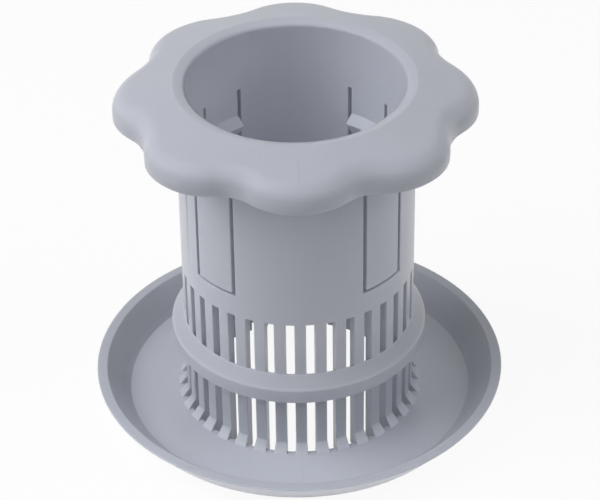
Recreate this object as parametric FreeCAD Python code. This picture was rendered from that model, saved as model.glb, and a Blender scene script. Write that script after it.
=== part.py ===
import FreeCAD, Part
import math
import os

# Drain filter, moulded in one piece: a slotted strainer tube that stands in a
# shallow dish and ends in a lobed grip with a hollow underside. Millimetres,
# +Z up, origin at the centre of the dish's underside.

# Strainer tube, its bore cylindrical above the catches and drafted below them
tube_radius = 33.0
tube_wall = 3.2
bore_draft = 0.4

# Dish: a flat floor and a wall that flares out to a flat-topped rim
floor_thickness = 2.6
floor_width = 16.6
rim_rise = 7.6
rim_lean = 6.5
rim_land = 2.9
rim_edge = 0.5
underside_round = 3.0

# Foot of each bar, a sloping rib that stands on the dish floor outside the tube
foot_height = 2.8
foot_spread = 2.4

# Collar: a ring round the bars, behind which the slots run on as deep grooves
collar_clearance = 19.8
collar_reach = 3.5
collar_lip = 0.4
collar_band = 4.2
collar_slope = 3.2
collar_upper_round = 0.8

# Slots: each starts below the tube's wall, parts the feet down to the dish floor
# and runs up behind the collar to its own upper end
slot_count = 36
slot_width = 2.5
slot_overrun = 0.2
floor_slot_reach = 0.5
upper_slot_length = 16.9

# Snap fingers, cut free by a slit at both sides and at the lower end
finger_count = 4
finger_width = 12.6
finger_length = 32.6
finger_slit = 1.1
finger_end_gap = 0.75
finger_clearance = 6.75
finger_root = 7.7
bead_drop = 8.25
bead_depth = 2.4
bead_slope = 2.7
bead_underside = 3.9

# Grip: lobes round a crowned ring, open underneath
lobe_count = 8
lobe_reach = 17.0
lobe_depth = 5.0
valley_arc = 12.5
grip_depth = 11.2
grip_skin = 2.8
crest_width = 0.3
crown_fall = 12.4
shoulder_round = 6.0
skirt_bevel = 0.9
hollow_bevel = 1.9

# Mouth: the ring's top falls inwards from its crest and a bevel leads into the bore
mouth_fall = 12.0
mouth_bevel_width = 1.2
mouth_bevel_depth = 0.9

# How far a cutting block runs past the wall that it cuts, and how level an edge has to be
cut_margin = 2.0
level_tolerance = 0.01

# Places that follow from the sizes above
bore_radius = tube_radius - tube_wall
drain_radius = bore_radius + bore_draft
floor_radius = tube_radius + floor_width
rim_height = floor_thickness + rim_rise
rim_radius = floor_radius + rim_lean + rim_land
foot_radius = tube_radius + foot_spread
collar_base = floor_thickness + collar_clearance
collar_shoulder = collar_base + collar_band
collar_top = collar_shoulder + collar_slope
collar_radius = tube_radius + collar_reach
upper_slot_top = collar_top + upper_slot_length
finger_base = upper_slot_top + finger_clearance
finger_top = finger_base + finger_end_gap + finger_length
catch_ledge = finger_top - bead_drop
skirt_base = finger_top + finger_root
crown_height = skirt_base + grip_depth
crest_radius = tube_radius + crest_width
lobe_radius = tube_radius + lobe_reach
valley_radius = lobe_radius - lobe_depth

axis_base = FreeCAD.Vector(0, 0, 0)
up = FreeCAD.Vector(0, 0, 1)


def corner_arc(before, corner, after, radius):
    """Start, middle and end of the arc that rounds one corner of an outline."""
    back = (before - corner).normalize()
    ahead = (after - corner).normalize()
    half_angle = back.getAngle(ahead) / 2
    tangent_length = radius / math.tan(half_angle)
    bisector = (back + ahead).normalize()
    middle_distance = radius / math.sin(half_angle) - radius
    return (
        corner + back * tangent_length,
        corner + bisector * middle_distance,
        corner + ahead * tangent_length,
    )


def turned(corners):
    """Solid of revolution from corners given as radius, height and rounding."""
    points = [FreeCAD.Vector(radius, 0, height) for radius, height, rounding in corners]
    edges = []
    runs = []
    for index, corner in enumerate(corners):
        point = points[index]
        rounding = corner[2]
        if rounding > 0:
            following = points[(index + 1) % len(points)]
            start, middle, end = corner_arc(points[index - 1], point, following, rounding)
            edges.append(Part.Arc(start, middle, end).toShape())
            runs.append((start, end))
        else:
            runs.append((point, point))
    for index, run in enumerate(runs):
        edges.append(Part.LineSegment(runs[index - 1][1], run[0]).toShape())
    wire = Part.Wire(Part.__sortEdges__(edges))
    return Part.Face(wire).revolve(axis_base, up, 360)


def around(shape, count, first_angle=0.0):
    """Copies of a shape, evenly spaced about the tube's axis."""
    copies = []
    for index in range(count):
        copy = shape.copy()
        copy.rotate(axis_base, up, first_angle + 360.0 / count * index)
        copies.append(copy)
    return copies


def tube_and_dish():
    """Tube, collar, feet and dish, turned as one ring up to the grip's lower edge."""
    rim_lower_edge = rim_height - rim_edge
    underside_radius = rim_radius - rim_lean / rim_rise * rim_lower_edge
    return turned([
        (drain_radius, 0, 0),
        (underside_radius, 0, underside_round),
        (rim_radius, rim_lower_edge, 0),
        (rim_radius, rim_height, 0),
        (rim_radius - rim_land, rim_height, 0),
        (floor_radius, floor_thickness, 0),
        (foot_radius, floor_thickness, 0),
        (tube_radius, floor_thickness + foot_height, 0),
        (tube_radius, collar_base, 0),
        (collar_radius, collar_base, 0),
        (collar_radius, collar_shoulder, collar_upper_round),
        (tube_radius, collar_top, 0),
        (tube_radius, skirt_base, 0),
        (bore_radius, skirt_base, 0),
        (bore_radius, catch_ledge, 0),
    ])


def lobed_face(inset):
    """Grip outline of arcs: each lobe runs tangent into the valleys beside it."""
    tip = lobe_radius - inset
    valley = valley_arc + inset
    valley_centre = valley_radius + valley_arc
    half_pitch = math.pi / lobe_count
    across = valley_centre * math.cos(half_pitch)
    lobe_arc = (tip ** 2 + valley_centre ** 2 - 2 * tip * across - valley ** 2) / (2 * (tip - across + valley))
    lobe_middle = FreeCAD.Vector(tip - lobe_arc, 0, skirt_base)
    valley_middle = FreeCAD.Vector(across, valley_centre * math.sin(half_pitch), skirt_base)
    joint = lobe_middle + (valley_middle - lobe_middle).normalize() * lobe_arc
    mirrored_joint = FreeCAD.Vector(joint.x, -joint.y, joint.z)
    tip_point = FreeCAD.Vector(tip, 0, skirt_base)
    lobe = Part.Arc(mirrored_joint, tip_point, joint).toShape()

    outward = FreeCAD.Vector(math.cos(half_pitch), math.sin(half_pitch), 0)
    valley_point = outward * (valley_centre - valley) + FreeCAD.Vector(0, 0, skirt_base)
    next_joint = FreeCAD.Rotation(up, 360.0 / lobe_count).multVec(mirrored_joint)
    hollow = Part.Arc(joint, valley_point, next_joint).toShape()
    edges = around(lobe, lobe_count) + around(hollow, lobe_count)
    return Part.Face(Part.Wire(Part.__sortEdges__(edges)))


def crowned_block(inset, inner_radius):
    """Lobed block under the crowned top, sunk by the inset."""
    fall = math.tan(math.radians(crown_fall))
    sink = inset / math.cos(math.radians(crown_fall))
    reach = lobe_radius + cut_margin
    crown = turned([
        (inner_radius, skirt_base - cut_margin, 0),
        (reach, skirt_base - cut_margin, 0),
        (reach, crown_height - fall * (reach - crest_radius) - sink, 0),
        (crest_radius, crown_height - sink, 0),
        (inner_radius, crown_height - sink, 0),
    ])
    return lobed_face(inset).extrude(up * grip_depth).common(crown)


def shoulder_edges(block):
    """Edges where a lobed block's sides meet its crowned top."""
    outside = valley_radius - grip_skin - cut_margin
    shoulder = []
    for edge in block.Edges:
        middle = edge.valueAt((edge.FirstParameter + edge.LastParameter) / 2)
        far_out = math.hypot(middle.x, middle.y) > outside
        level = abs(edge.Vertexes[0].Z - edge.Vertexes[-1].Z) < level_tolerance
        if far_out and level and middle.z > skirt_base + cut_margin:
            shoulder.append(edge)
    return shoulder


def mouth_cutter():
    """What is taken from the crowned block for the bore and its bevelled mouth."""
    fall = math.tan(math.radians(mouth_fall))
    bevel_radius = bore_radius + mouth_bevel_width
    bevel_top = crown_height - fall * (crest_radius - bevel_radius)
    above = crown_height + fall * cut_margin
    return turned([
        (0, skirt_base - cut_margin, 0),
        (bore_radius, skirt_base - cut_margin, 0),
        (bore_radius, bevel_top - mouth_bevel_depth, 0),
        (bevel_radius, bevel_top, 0),
        (crest_radius + cut_margin, above, 0),
        (0, above, 0),
    ])


def grip():
    """Lobed grip with its mouth, the underside hollowed to an even skin."""
    outer = crowned_block(0, 0)
    outer = outer.makeFillet(shoulder_round, shoulder_edges(outer))
    lower_edges = [
        edge for edge in outer.Edges
        if abs(edge.BoundBox.ZMax - skirt_base) < level_tolerance
        and edge.BoundBox.ZLength < level_tolerance
    ]
    outer = outer.makeChamfer(skirt_bevel, lower_edges)
    hollow = crowned_block(grip_skin, tube_radius)
    hollow = hollow.makeChamfer(hollow_bevel, shoulder_edges(hollow))
    return outer.cut(mouth_cutter()).cut(hollow)


def slot_cutter(base, top, outer_end):
    """Block that cuts one slot between two heights, out to a radius."""
    inner_end = bore_radius - cut_margin
    corner = FreeCAD.Vector(inner_end, -slot_width / 2, base)
    return Part.makeBox(outer_end - inner_end, slot_width, top - base, corner)


def slot_cutters():
    """Slots, open outside below and above the collar and open inside all the way."""
    through_floor = slot_cutter(-cut_margin, floor_thickness, tube_radius + floor_slot_reach)
    between_feet = slot_cutter(floor_thickness, collar_base, foot_radius + slot_overrun)
    behind_collar = slot_cutter(collar_base, collar_top, tube_radius - collar_lip)
    above_collar = slot_cutter(collar_top, upper_slot_top, tube_radius + cut_margin)
    slot = through_floor.fuse([between_feet, behind_collar, above_collar]).removeSplitter()
    return around(slot, slot_count, 180.0 / slot_count)


def finger_slit_cutter():
    """U-shaped slit that frees one snap finger, pointing along +X."""
    inner_end = bore_radius - cut_margin
    depth = tube_wall + 2 * cut_margin
    outer_width = finger_width + 2 * finger_slit
    outer = Part.makeBox(
        depth,
        outer_width,
        finger_length + finger_end_gap,
        FreeCAD.Vector(inner_end, -outer_width / 2, finger_base),
    )
    finger = Part.makeBox(
        depth,
        finger_width,
        finger_length + cut_margin,
        FreeCAD.Vector(inner_end, -finger_width / 2, finger_base + finger_end_gap),
    )
    return outer.cut(finger)


def finger_bead():
    """Catch on the inside of one finger, as wide as the finger, pointing along +X."""
    root = bore_radius + tube_wall / 2
    bead_base = catch_ledge - bead_slope - bead_underside
    ring = turned([
        (root, catch_ledge, 0),
        (bore_radius, catch_ledge, 0),
        (bore_radius - bead_depth, catch_ledge - bead_slope, 0),
        (bore_radius, bead_base, 0),
        (root, bead_base, 0),
    ])
    slice_block = Part.makeBox(
        tube_radius,
        finger_width,
        finger_length,
        FreeCAD.Vector(0, -finger_width / 2, finger_base + finger_end_gap),
    )
    return ring.common(slice_block)


def filter_body():
    """The whole moulding."""
    first_finger = 180.0 / finger_count
    body = tube_and_dish().fuse(grip()).removeSplitter()
    body = body.cut(slot_cutters() + around(finger_slit_cutter(), finger_count, first_finger))
    body = body.fuse(around(finger_bead(), finger_count, first_finger)).removeSplitter()
    return body


os.makedirs("parts", exist_ok=True)
body = filter_body()
solid = body.Solids[0]
print("solids", len(body.Solids), "valid", body.isValid(), "volume", round(body.Volume, 1))
print("box", solid.BoundBox)
solid.exportStep("parts/filter_body.step")
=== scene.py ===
import math

import bmesh
import bpy
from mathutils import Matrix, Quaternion, Vector


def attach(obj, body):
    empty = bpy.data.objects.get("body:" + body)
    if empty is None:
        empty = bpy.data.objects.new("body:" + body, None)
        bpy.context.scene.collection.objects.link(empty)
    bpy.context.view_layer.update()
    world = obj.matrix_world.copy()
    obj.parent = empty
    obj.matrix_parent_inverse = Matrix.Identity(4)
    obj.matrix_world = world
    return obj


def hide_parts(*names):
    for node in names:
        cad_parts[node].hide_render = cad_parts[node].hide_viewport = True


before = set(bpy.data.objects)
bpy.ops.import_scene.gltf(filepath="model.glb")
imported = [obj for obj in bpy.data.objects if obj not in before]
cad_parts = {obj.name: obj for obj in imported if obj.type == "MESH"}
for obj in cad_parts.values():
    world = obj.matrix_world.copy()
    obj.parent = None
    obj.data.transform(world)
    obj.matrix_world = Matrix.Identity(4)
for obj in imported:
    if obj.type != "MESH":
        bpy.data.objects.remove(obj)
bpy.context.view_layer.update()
print("frame loaded:", sorted(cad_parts))


def newMaterial(name):
    material = bpy.data.materials.new(name)
    material.use_nodes = True
    material.node_tree.nodes.clear()
    return material, material.node_tree


def placeNode(tree, kind, **values):
    node = tree.nodes.new(kind)
    for name, value in values.items():
        setattr(node, name, value)
    return node


def feed(tree, node, values):
    # links what comes from another node, and sets plain values on their own sockets
    for socket, value in values.items():
        if isinstance(value, bpy.types.NodeSocket):
            tree.links.new(value, node.inputs[socket])
        else:
            node.inputs[socket].default_value = value
    return node


def mathNode(tree, operation, *values):
    node = placeNode(tree, "ShaderNodeMath", operation=operation)
    return feed(tree, node, dict(enumerate(values))).outputs[0]


def vectorNode(tree, operation, *values):
    node = placeNode(tree, "ShaderNodeVectorMath", operation=operation)
    return feed(tree, node, dict(enumerate(values)))


def heightOf(tree, vector):
    node = placeNode(tree, "ShaderNodeSeparateXYZ")
    return feed(tree, node, {"Vector": vector}).outputs["Z"]


def newGroup(name, inputs, output):
    # a shader node group that takes numbers and vectors and puts out one number
    group = bpy.data.node_groups.new(name, "ShaderNodeTree")
    for title, default in inputs.items():
        kind = "NodeSocketVector" if isinstance(default, tuple) else "NodeSocketFloat"
        socket = group.interface.new_socket(name=title, in_out="INPUT", socket_type=kind)
        socket.default_value = default
    group.interface.new_socket(name=output, in_out="OUTPUT", socket_type="NodeSocketFloat")
    given = group.nodes.new("NodeGroupInput").outputs
    result = group.nodes.new("NodeGroupOutput").inputs[output]
    return group, given, result


def swingGroup():
    # noise that swings about 1, to vary a colour or a roughness
    inputs = {"Vector": (0.0, 0.0, 0.0), "Scale": 50.0, "Amount": 0.05}
    group, given, result = newGroup("noiseSwing", inputs, "Factor")
    noise = placeNode(group, "ShaderNodeTexNoise")
    feed(group, noise, {"Vector": given["Vector"], "Scale": given["Scale"], "Detail": plastic["noiseDetail"]})
    centred = mathNode(group, "SUBTRACT", noise.outputs["Fac"], plastic["noiseMean"])
    swing = mathNode(group, "MULTIPLY", centred, given["Amount"])
    group.links.new(mathNode(group, "ADD", swing, 1.0), result)
    return group


def seamGroup():
    # thin upright line in a half plane through the axis, fading out at its lower end
    inputs = {
        "Vector": (0.0, 0.0, 0.0),
        "Across": (1.0, 0.0, 0.0),
        "Outward": (0.0, -1.0, 0.0),
        "Width": 0.0003,
        "Low": 0.0,
        "High": 0.1,
        "Fade": 0.005,
        "Depth": 0.1,
    }
    group, given, result = newGroup("seamLine", inputs, "Mask")
    aside = vectorNode(group, "DOT_PRODUCT", given["Vector"], given["Across"]).outputs["Value"]
    forward = vectorNode(group, "DOT_PRODUCT", given["Vector"], given["Outward"]).outputs["Value"]
    height = heightOf(group, given["Vector"])
    away = mathNode(group, "DIVIDE", mathNode(group, "ABSOLUTE", aside), given["Width"])
    line = mathNode(group, "SUBTRACT", 1.0, mathNode(group, "MINIMUM", away, 1.0))
    before = mathNode(group, "GREATER_THAN", forward, 0.0)
    above = mathNode(group, "SUBTRACT", height, given["Low"])
    below = mathNode(group, "GREATER_THAN", given["High"], height)
    risen = mathNode(group, "DIVIDE", mathNode(group, "MAXIMUM", above, 0.0), given["Fade"])
    held = mathNode(group, "MULTIPLY", mathNode(group, "MINIMUM", risen, 1.0), below)
    mask = mathNode(group, "MULTIPLY", mathNode(group, "MULTIPLY", line, before), held)
    group.links.new(mathNode(group, "MULTIPLY", mask, given["Depth"]), result)
    return group


def paintedLightGroup():
    # painted light and shade: the colour made paler or darker between two radii, which may lean outwards, and
    # two heights
    inputs = {
        "Vector": (0.0, 0.0, 0.0),
        "Inner": 0.0,
        "Outer": 0.1,
        "Low": 0.0,
        "High": 0.1,
        "Soft": 0.001,
        "Fade": 0.001,
        "Lean": 0.0,
        "Amount": 0.1,
    }
    group, given, result = newGroup("paintedLightBetween", inputs, "Factor")
    flat = vectorNode(group, "MULTIPLY", given["Vector"], (1.0, 1.0, 0.0)).outputs["Vector"]
    reach = vectorNode(group, "LENGTH", flat).outputs["Value"]
    height = heightOf(group, given["Vector"])
    radius = mathNode(group, "SUBTRACT", reach, mathNode(group, "MULTIPLY", given["Lean"], height))
    spans = [
        (radius, given["Inner"], "Soft"),
        (given["Outer"], radius, "Soft"),
        (height, given["Low"], "Fade"),
        (given["High"], height, "Fade"),
    ]
    inside = given["Amount"]
    for larger, smaller, edge in spans:
        rise = mathNode(group, "DIVIDE", mathNode(group, "SUBTRACT", larger, smaller), given[edge])
        held = mathNode(group, "MAXIMUM", mathNode(group, "MINIMUM", rise, 1.0), 0.0)
        inside = mathNode(group, "MULTIPLY", inside, held)
    group.links.new(mathNode(group, "ADD", inside, 1.0), result)
    return group


plastic = {
    "colour": (0.578, 0.596, 0.636),
    "roughness": 0.30,
    "scatterWeight": 0.4,
    "scatterRadius": (1.0, 1.0, 1.0),
    "scatterScale": 0.002,      # metres: light passes a little way through the wall
    "noiseDetail": 3.0,
    "noiseMean": 0.5,
    "clouds": (45.0, 0.06),     # per metre, share of the colour
    "mottle": (420.0, 0.02),
    "gloss": (60.0, 0.10),      # per metre, share of the roughness
    "grainScale": 1500.0,
    "grainDepth": 0.00004,
    "seamValues": ("Width", "Low", "High", "Fade", "Depth"),
    "seams": [
        # azimuth from the front, half width, lowest, highest, fade, share of the colour taken
        (0.0, 0.0003, 0.1018, 0.1045, 0.001, 0.08),
        (0.0, 0.0003, -0.010, 0.0034, 0.004, 0.06),
        (-67.0, 0.0008, 0.050, 0.0960, 0.045, 0.95),
    ],
    "paintedLightValues": ("Inner", "Outer", "Low", "High", "Soft", "Fade", "Lean", "Amount"),
    "paintedLightAndShade": [
        # painted light and shade by zone: inner and outer radius, lowest, highest, soft edge across and
        # upwards, lean, share added
        # painted light: the bore made paler further in, standing in for light that reaches inside
        (-0.01, 0.0303, -0.0250, 0.1050, 0.0003, 0.035, 0.0, 0.20),        # the bore, paler further in
        # painted light: the slots' cut sides made paler
        (0.0300, 0.0330, -0.0100, 0.0500, 0.0003, 0.001, 0.0, 0.12),       # the cut sides of the slots
        # painted shadow: the collar's slope made darker, for the grip's shadow
        (0.0331, 0.0430, 0.0264, 0.0370, 0.0003, 0.001, 0.0, -0.12),       # the collar's slope
        # painted shade: the bars below the collar made darker
        (0.0327, 0.0400, 0.0045, 0.0224, 0.0003, 0.001, 0.0, -0.09),       # the bars below the collar
        # painted light: the dish's floor made paler
        (0.0336, 0.0525, -0.0100, 0.0045, 0.0010, 0.001, 0.0, 0.07),       # the dish's floor
        # painted shade: the grip's side made darker
        (0.0360, 0.0600, 0.0900, 0.1010, 0.0020, 0.002, 0.0, -0.12),       # the grip's side
        # painted light: the dish's outer wall made paler, for light thrown up from the floor
        (0.0504, 0.0600, -0.0100, 0.0105, 0.0002, 0.0001, 0.855, 0.26),    # the dish's outer wall
    ],
}


def satinPlastic():
    material, tree = newMaterial("satinPlastic")
    spot = placeNode(tree, "ShaderNodeTexCoord").outputs["Object"]
    swing, seam, between = swingGroup(), seamGroup(), paintedLightGroup()

    def grouped(group, result, values):
        node = placeNode(tree, "ShaderNodeGroup", node_tree=group)
        return feed(tree, node, {"Vector": spot, **values}).outputs[result]

    def varied(settings):
        scale, amount = settings
        return grouped(swing, "Factor", {"Scale": scale, "Amount": amount})

    lines = 0.0
    for azimuth, *sizes in plastic["seams"]:
        turn = math.radians(azimuth)
        values = dict(zip(plastic["seamValues"], sizes))
        values["Across"] = (math.cos(turn), math.sin(turn), 0.0)
        values["Outward"] = (math.sin(turn), -math.cos(turn), 0.0)
        lines = mathNode(tree, "MAXIMUM", lines, grouped(seam, "Mask", values))
    shade = mathNode(tree, "MULTIPLY", varied(plastic["clouds"]), varied(plastic["mottle"]))
    # painted light and shade: each zone makes the colour paler where light falls or darker where shade falls
    for sizes in plastic["paintedLightAndShade"]:
        values = dict(zip(plastic["paintedLightValues"], sizes))
        shade = mathNode(tree, "MULTIPLY", shade, grouped(between, "Factor", values))
    shade = mathNode(tree, "MULTIPLY", shade, mathNode(tree, "SUBTRACT", 1.0, lines))
    tint = vectorNode(tree, "SCALE", plastic["colour"])
    feed(tree, tint, {"Scale": shade})

    grain = placeNode(tree, "ShaderNodeTexNoise")
    feed(tree, grain, {"Vector": spot, "Scale": plastic["grainScale"]})
    bump = placeNode(tree, "ShaderNodeBump")
    feed(tree, bump, {"Height": grain.outputs["Fac"], "Distance": plastic["grainDepth"]})
    shader = placeNode(tree, "ShaderNodeBsdfPrincipled")
    feed(tree, shader, {
        "Base Color": tint.outputs["Vector"],
        "Roughness": mathNode(tree, "MULTIPLY", varied(plastic["gloss"]), plastic["roughness"]),
        "Normal": bump.outputs["Normal"],
        "Subsurface Weight": plastic["scatterWeight"],
        "Subsurface Radius": plastic["scatterRadius"],
        "Subsurface Scale": plastic["scatterScale"],
    })
    output = placeNode(tree, "ShaderNodeOutputMaterial")
    feed(tree, output, {"Surface": shader.outputs["BSDF"]})
    return material


moulding = {
    # lengths in metres, angles in degrees
    "mergeWithin": 0.000002,
    "flatWithin": 0.3,
    "pairWithin": 8.0,              # triangles this flat to each other become one face
    "squareWithin": 60.0,           # and only where its corners stay this near to square
    "halvedBetween": (5.0, 16.0),   # a wider edge is straight on the real one
    "halvings": 2,
    "deepestFacet": 0.0005,         # how far a facet's middle may lie inside its round
    "sameWithin": 0.000005,
    "sharpOver": 20.0,              # steeper edges than this are real ones
    "edgeRound": 0.00025,
    "edgeSteps": 2,
    "tubeOuter": 0.0335,            # just outside the tube
    "gripFoot": 0.0935,             # just below the grip's lower edge
    "skirtTop": 0.0965,             # just above the bevel of the grip's lower edge
    "mouthRadius": (0.0290, 0.0318),    # just inside and outside the mouth's bevel
    "turnedWithin": 9.0,            # a corner this near to straight out is on a turned face
    "levelOver": 0.02,              # a corner leans at least this far sideways before it has an outward way
}


def cutFiner(form):
    # halves the wide facets of the turned faces, each new corner put out on its true round
    narrowest, widest = (math.radians(angle) for angle in moulding["halvedBetween"])
    for halving in range(moulding["halvings"]):
        rings = []
        for edge in form.edges:
            first, last = (vert.co for vert in edge.verts)
            level = abs(first.z - last.z) < moulding["sameWithin"]
            alike = abs(first.xy.length - last.xy.length) < moulding["sameWithin"]
            if level and alike and narrowest < first.xy.angle(last.xy) < widest:
                rings.append(edge)
        halved = bmesh.ops.subdivide_edges(form, edges=rings, cuts=1, use_grid_fill=True)
        for vert in halved["geom_inner"]:
            if not isinstance(vert, bmesh.types.BMVert):
                continue
            reach = vert.co.xy.length
            ends = [edge.other_vert(vert).co for edge in vert.link_edges]
            rounds = [end.xy.length for end in ends if abs(end.z - vert.co.z) < moulding["sameWithin"]]
            near = [span for span in rounds if 0.0 < span - reach < moulding["deepestFacet"]]
            if near:
                vert.co.xy *= max(near) / reach


def crispEdges(form):
    # every real edge, but for the mouth's and the grip's lower ones, whose bevels shade as one soft round
    innermost, outermost = moulding["mouthRadius"]
    found = []
    for edge in form.edges:
        if edge.calc_face_angle() < math.radians(moulding["sharpOver"]):
            continue
        heights = [vert.co.z for vert in edge.verts]
        spans = [vert.co.xy.length for vert in edge.verts]
        lowOnGrip = moulding["gripFoot"] < min(heights) and max(heights) < moulding["skirtTop"]
        skirt = lowOnGrip and min(spans) > moulding["tubeOuter"]
        mouth = min(heights) > moulding["skirtTop"] and innermost < min(spans) and max(spans) < outermost
        if not skirt and not mouth:
            found.append(edge)
    return found


def trueNormals(mesh):
    # corners on turned faces point straight out from the axis, so that wide and narrow facets shade alike
    nearlyOut = math.cos(math.radians(moulding["turnedWithin"]))
    boreEnd = moulding["mouthRadius"][1]
    normals = []
    for loop, corner in zip(mesh.loops, mesh.corner_normals):
        normal, spot = corner.vector.copy(), mesh.vertices[loop.vertex_index].co
        radius, level = math.hypot(spot.x, spot.y), math.hypot(normal.x, normal.y)
        turned = spot.z < moulding["gripFoot"] or radius < boreEnd
        if turned and level > moulding["levelOver"]:
            outward = Vector((spot.x, spot.y, 0.0)) / radius
            side = normal.dot(outward) / level
            if abs(side) > nearlyOut:
                normal = outward * math.copysign(level, side) + Vector((0.0, 0.0, normal.z))
        normals.append(normal)
    mesh.normals_split_custom_set(normals)


def mouldedForm():
    # the solid's triangles as real faces, finer on the rounds, with the crisp edges weighted
    form = bmesh.new()
    form.from_mesh(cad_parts["filter_body"].data)
    bmesh.ops.remove_doubles(form, verts=form.verts, dist=moulding["mergeWithin"])
    bmesh.ops.dissolve_limit(
        form, angle_limit=math.radians(moulding["flatWithin"]), use_dissolve_boundaries=False,
        verts=form.verts, edges=form.edges, delimit=set())
    bmesh.ops.join_triangles(
        form, faces=form.faces, cmp_seam=False, cmp_sharp=False, cmp_uvs=False, cmp_vcols=False,
        cmp_materials=False, angle_face_threshold=math.radians(moulding["pairWithin"]),
        angle_shape_threshold=math.radians(moulding["squareWithin"]))
    cutFiner(form)
    weight = form.edges.layers.float.new("bevel_weight_edge")
    for edge in crispEdges(form):
        edge[weight] = 1.0
    for face in form.faces:
        face.smooth = True
    return form


def roundEdges(piece):
    edges = piece.modifiers.new("softEdges", "BEVEL")
    edges.limit_method = "WEIGHT"
    edges.width = moulding["edgeRound"]
    edges.segments = moulding["edgeSteps"]
    edges.use_clamp_overlap = False
    shading = piece.modifiers.new("evenShading", "WEIGHTED_NORMAL")
    shading.mode = "FACE_AREA"
    settled = piece.evaluated_get(bpy.context.evaluated_depsgraph_get())
    piece.data = bpy.data.meshes.new_from_object(settled)
    piece.modifiers.clear()
    trueNormals(piece.data)


def softenedMoulding(material):
    # the moulding with the small radius that a mould leaves on every edge
    form = mouldedForm()
    mesh = bpy.data.meshes.new("mouldedFilter")
    form.to_mesh(mesh)
    form.free()
    print("cut finer:", len(mesh.polygons), "faces")
    mesh.materials.clear()
    mesh.materials.append(material)
    piece = bpy.data.objects.new("mouldedFilter", mesh)
    bpy.context.scene.collection.objects.link(piece)
    roundEdges(piece)
    print("edges rounded:", len(piece.data.polygons), "faces")
    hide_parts("filter_body")
    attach(piece, "root")


softenedMoulding(satinPlastic())
print("filter moulded")

floorSettings = {
    "size": 6.0,
    "glow": 0.92,           # shown to the camera, with what the lamps add
    "cameraColour": 0.09,
    "bounceColour": 0.85,
}


def grey(level):
    return (level, level, level, 1.0)


def seenMix(tree, falling, seen):
    # one shader for the light that falls on the object, another for what the camera and mirrors show
    rays = placeNode(tree, "ShaderNodeLightPath").outputs
    direct = mathNode(tree, "MAXIMUM", rays["Is Camera Ray"], rays["Is Glossy Ray"])
    either = mathNode(tree, "MAXIMUM", direct, rays["Is Transmission Ray"])
    mix = placeNode(tree, "ShaderNodeMixShader")
    return feed(tree, mix, {0: either, 1: falling.outputs[0], 2: seen.outputs[0]}).outputs[0]


def paleFloor():
    material, tree = newMaterial("paleFloor")
    bounce = placeNode(tree, "ShaderNodeBsdfDiffuse")
    feed(tree, bounce, {"Color": grey(floorSettings["bounceColour"])})
    shaded = placeNode(tree, "ShaderNodeBsdfDiffuse")
    feed(tree, shaded, {"Color": grey(floorSettings["cameraColour"])})
    glow = placeNode(tree, "ShaderNodeEmission")
    feed(tree, glow, {"Strength": floorSettings["glow"]})
    seen = placeNode(tree, "ShaderNodeAddShader")
    feed(tree, seen, {0: shaded.outputs[0], 1: glow.outputs[0]})
    output = placeNode(tree, "ShaderNodeOutputMaterial")
    feed(tree, output, {"Surface": seenMix(tree, bounce, seen)})
    return material


def layFloor():
    bpy.ops.mesh.primitive_plane_add(size=floorSettings["size"])
    floor = bpy.context.object
    floor.name = "floor"
    floor.data.materials.append(paleFloor())


layFloor()
print("floor laid")

studio = {
    "worldGrey": 0.005,
    "shownGrey": 1.0,
    "lampColour": (0.936, 0.943, 1.0),
    "lampDistance": 0.9,        # metres from the point lit
    "litHeight": 0.05,
    "lamps": {
        # name: (azimuth from the front, elevation, size, power)
        "window": (-75.0, 50.0, 0.8, 4.35),
        "lowLeft": (-90.0, 28.0, 0.8, 2.07),
        "nearLeft": (-30.0, 45.0, 1.2, 1.31),
        "fillRight": (75.0, 38.0, 0.8, 3.05),
    },
}


def outwards(azimuth, elevation):
    # direction from the object, in degrees round from the front and up
    turn, lift = math.radians(azimuth), math.radians(elevation)
    return Vector((math.sin(turn) * math.cos(lift), -math.cos(turn) * math.cos(lift), math.sin(lift)))


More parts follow.
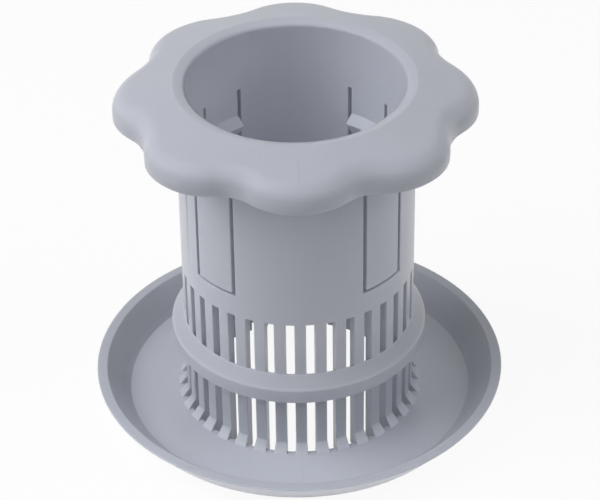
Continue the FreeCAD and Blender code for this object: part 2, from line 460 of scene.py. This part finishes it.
def setUp(name, data, place, facing):
    holder = bpy.data.objects.new(name, data)
    bpy.context.scene.collection.objects.link(holder)
    holder.rotation_mode = "QUATERNION"
    holder.location = place
    holder.rotation_quaternion = facing
    return holder


def lightWorld():
    world = bpy.data.worlds.new("studio")
    bpy.context.scene.world = world
    world.use_nodes = True
    tree = world.node_tree
    tree.nodes.clear()
    soft = placeNode(tree, "ShaderNodeBackground")
    feed(tree, soft, {"Color": grey(studio["worldGrey"])})
    white = placeNode(tree, "ShaderNodeBackground")
    feed(tree, white, {"Color": grey(studio["shownGrey"])})
    output = placeNode(tree, "ShaderNodeOutputWorld")
    feed(tree, output, {"Surface": seenMix(tree, soft, white)})


def hangLamp(name, azimuth, elevation, size, power):
    lamp = bpy.data.lights.new(name, "AREA")
    lamp.shape = "DISK"
    lamp.size = size
    lamp.energy = power
    lamp.color = studio["lampColour"]
    away = outwards(azimuth, elevation)
    place = Vector((0.0, 0.0, studio["litHeight"])) + away * studio["lampDistance"]
    holder = setUp(name, lamp, place, away.to_track_quat("Z", "Y"))
    holder.visible_glossy = False   # the plastic mirrors the white room, not the lamps


lightWorld()
for lampName, lampPlace in studio["lamps"].items():
    hangLamp(lampName, *lampPlace)
print("lamps hung")

camera = {
    "photoWidth": 600,          # pixels
    "sensor": 36.0,             # millimetres
    "lens": 149.0,
    "distance": 0.7047,         # metres from the point looked at
    "lookHeight": 0.04876,
    "azimuth": -0.6244,         # degrees
    "elevation": 35.458,
    "roll": 0.82,
    "axisOffset": 2.27,         # pixels
}


def setCamera():
    data = bpy.data.cameras.new("camera")
    data.sensor_width = camera["sensor"]
    data.lens = camera["lens"]
    data.shift_x = camera["axisOffset"] / camera["photoWidth"]
    back = outwards(camera["azimuth"], camera["elevation"])
    place = Vector((0.0, 0.0, camera["lookHeight"])) + back * camera["distance"]
    rolled = Quaternion((0.0, 0.0, 1.0), -math.radians(camera["roll"]))
    holder = setUp("camera", data, place, (-back).to_track_quat("-Z", "Y") @ rolled)
    bpy.context.scene.camera = holder


setCamera()
bpy.context.scene.view_settings.view_transform = "Standard"
print("studio set")
